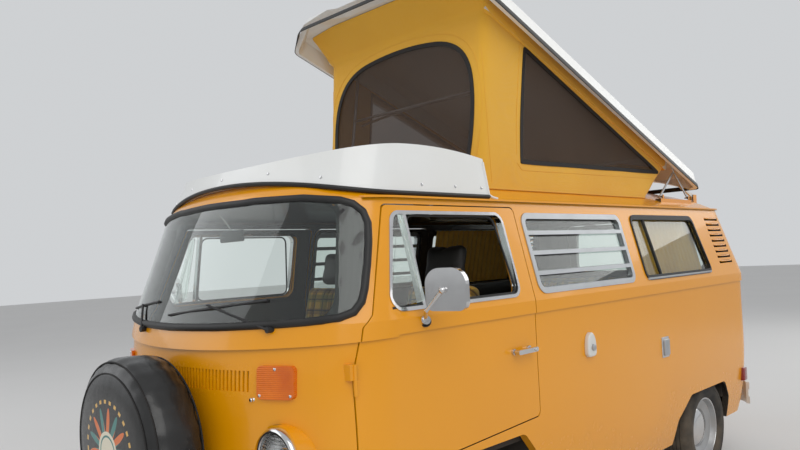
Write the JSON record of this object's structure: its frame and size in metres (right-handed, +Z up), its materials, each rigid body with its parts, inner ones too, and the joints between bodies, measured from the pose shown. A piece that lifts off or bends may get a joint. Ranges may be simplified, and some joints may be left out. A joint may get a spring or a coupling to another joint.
{
  "type": "camper van",
  "caption": "Rounded forward-control camper van with a raised rear-hinged pop-top, canvas sides, roof luggage tray, spare wheel on the nose, opening doors, tailgate and steered wheels.",
  "frame": {"origin": "on the road, below the middle of the bounding box", "axes": "+X to the vehicle's left, +Y to its rear, +Z up"},
  "size_m": [2.172, 4.512, 2.9144],
  "materials": {
    "body_paint": "glossy deep yellow paint",
    "white_fibreglass": "glossy white fibreglass",
    "white_paint": "glossy white paint",
    "chrome": "polished chrome",
    "alloy": "brushed alloy",
    "glass": "clear window glass",
    "seal_rubber": "matt black rubber",
    "tyre_rubber": "worn black tyre",
    "wheel_paint": "silver paint with a chrome cap",
    "dark_steel": "black chassis paint",
    "cast_metal": "dull grey metal",
    "amber_lens": "ribbed amber lens",
    "red_lens": "ribbed red lens",
    "lamp_glass": "clear ribbed lens",
    "dark_plastic": "matt black plastic",
    "seat_cloth": "plaid cloth in yellow, green and brown",
    "curtain_cloth": "gold yellow cloth",
    "tent_canvas": "yellow canvas",
    "cover_vinyl": "smooth black vinyl",
    "cabinet_wood": "light wood veneer",
    "floor_paint": "dark floor lining over steel"
  },
  "bodies": {
    "body": {"nose_panel": "body_paint", "side_panel_left": "body_paint", "side_panel_right": "body_paint", "tail_panel": "body_paint", "roof_panel": "body_paint", "luggage_tray": "white_fibreglass", "floor_pan": "floor_paint", "sills": "floor_paint", "wheel_boxes": "floor_paint", "chassis_frame": "dark_steel", "windscreen": "glass", "window_seals": "seal_rubber", "jalousie_frames": "alloy", "side_glass": "glass", "sliding_door": "body_paint", "fresh_air_grille": "body_paint", "turn_signals": "amber_lens", "headlamps": "lamp_glass", "front_bumper": "white_paint", "rear_bumper": "white_paint", "spare_carrier": "dark_steel", "spare_cover": "cover_vinyl", "dashboard": "dark_plastic", "steering_column": "dark_plastic", "front_seats": "seat_cloth", "rear_bench": "seat_cloth", "galley_cabinet": "cabinet_wood", "curtains": "curtain_cloth", "tail_lamps": "red_lens", "wipers": "dark_plastic", "side_inlets": "white_paint", "front_axle": "dark_steel", "rear_axle": "cast_metal", "engine_block": "cast_metal", "silencer": "dark_steel", "canvas": "tent_canvas"},
    "front_door_left": {"door_left": "body_paint", "quarter_light_left": "glass", "door_fittings_left": "chrome"},
    "front_door_right": {"door_right": "body_paint", "quarter_light_right": "glass", "door_fittings_right": "chrome"},
    "steering_wheel": {"steering_wheel": "dark_plastic"},
    "knuckle_left": {"knuckle_left": "cast_metal"},
    "knuckle_right": {"knuckle_right": "cast_metal"},
    "wheel_front_left": {"tyre_front_left": "tyre_rubber", "wheel_front_left": "wheel_paint"},
    "wheel_front_right": {"tyre_front_right": "tyre_rubber", "wheel_front_right": "wheel_paint"},
    "wheel_rear_left": {"tyre_rear_left": "tyre_rubber", "wheel_rear_left": "wheel_paint"},
    "wheel_rear_right": {"tyre_rear_right": "tyre_rubber", "wheel_rear_right": "wheel_paint"},
    "tailgate": {"tailgate": "body_paint", "tailgate_glass": "glass"},
    "engine_lid": {"engine_lid": "body_paint"},
    "pop_top_lid": {"pop_top_lid": "white_fibreglass"},
    "lift_bail": {"lift_bail": "alloy"},
    "lid_stays_front": {"lid_stays_front": "alloy"},
    "lid_stays_rear": {"lid_stays_rear": "alloy"}
  },
  "joints": [
    {"name": "door_left_hinge", "type": "hinge", "parent": "body", "child": "front_door_left", "pos_m": [0.818, -1.727, 0.9], "axis": [0, 0, -1], "range_deg": [0, 70]},
    {"name": "door_right_hinge", "type": "hinge", "parent": "body", "child": "front_door_right", "pos_m": [-0.818, -1.727, 0.9], "axis": [0, 0, 1], "range_deg": [0, 70]},
    {"name": "steer_left", "type": "hinge", "parent": "body", "child": "knuckle_left", "pos_m": [0.61, -1.089, 0.324], "axis": [0, 0, 1], "range_deg": [-30, 30]},
    {"name": "steer_right", "type": "hinge", "parent": "body", "child": "knuckle_right", "pos_m": [-0.61, -1.089, 0.324], "axis": [0, 0, 1], "range_deg": [-30.5, 30.5]},
    {"name": "steering_wheel_turn", "type": "hinge", "parent": "body", "child": "steering_wheel", "pos_m": [0.38, -1.509, 1.13], "axis": [0, 0.4138, 0.9104], "range_deg": [-460, 460]},
    {"name": "wheel_front_left_spin", "type": "hinge", "parent": "knuckle_left", "child": "wheel_front_left", "pos_m": [0.6975, -1.089, 0.324], "axis": [1, 0, 0], "continuous": true},
    {"name": "wheel_front_right_spin", "type": "hinge", "parent": "knuckle_right", "child": "wheel_front_right", "pos_m": [-0.6975, -1.089, 0.324], "axis": [1, 0, 0], "continuous": true},
    {"name": "wheel_rear_left_spin", "type": "hinge", "parent": "body", "child": "wheel_rear_left", "pos_m": [0.7275, 1.311, 0.324], "axis": [1, 0, 0], "continuous": true},
    {"name": "wheel_rear_right_spin", "type": "hinge", "parent": "body", "child": "wheel_rear_right", "pos_m": [-0.7275, 1.311, 0.324], "axis": [1, 0, 0], "continuous": true},
    {"name": "tailgate_hinge", "type": "hinge", "parent": "body", "child": "tailgate", "pos_m": [0, 2.057, 1.736], "axis": [1, 0, 0], "range_deg": [0, 85]},
    {"name": "engine_lid_hinge", "type": "hinge", "parent": "body", "child": "engine_lid", "pos_m": [0, 2.207, 0.984], "axis": [1, 0, 0], "range_deg": [0, 65]},
    {"name": "pop_top_hinge", "type": "hinge", "parent": "body", "child": "pop_top_lid", "pos_m": [0, 1.911, 1.88], "axis": [1, 0, 0], "range_deg": [0, 19.2], "deforming": ["canvas"]},
    {"name": "lift_bail_hinge", "type": "hinge", "parent": "pop_top_lid", "child": "lift_bail", "pos_m": [0, -0.40394, 2.71262], "axis": [1, 0, 0], "range_deg": [0, 81]},
    {"name": "stay_front_hinge", "type": "hinge", "parent": "body", "child": "lid_stays_front", "pos_m": [0, 1.201, 1.858], "axis": [-1, 0, 0], "range_deg": [0, 38]},
    {"name": "stay_rear_hinge", "type": "hinge", "parent": "body", "child": "lid_stays_rear", "pos_m": [0, 1.611, 1.858], "axis": [1, 0, 0], "range_deg": [0, 39]}
  ],
  "couplings": [
    {"joint": "steer_right", "follows": "steer_left", "ratio": 1},
    {"joint": "steering_wheel_turn", "follows": "steer_left", "ratio": 15},
    {"joint": "lift_bail_hinge", "follows": "pop_top_hinge", "ratio": 4.203},
    {"joint": "stay_front_hinge", "follows": "pop_top_hinge", "ratio": 1.927},
    {"joint": "stay_rear_hinge", "follows": "pop_top_hinge", "ratio": 2}
  ]
}
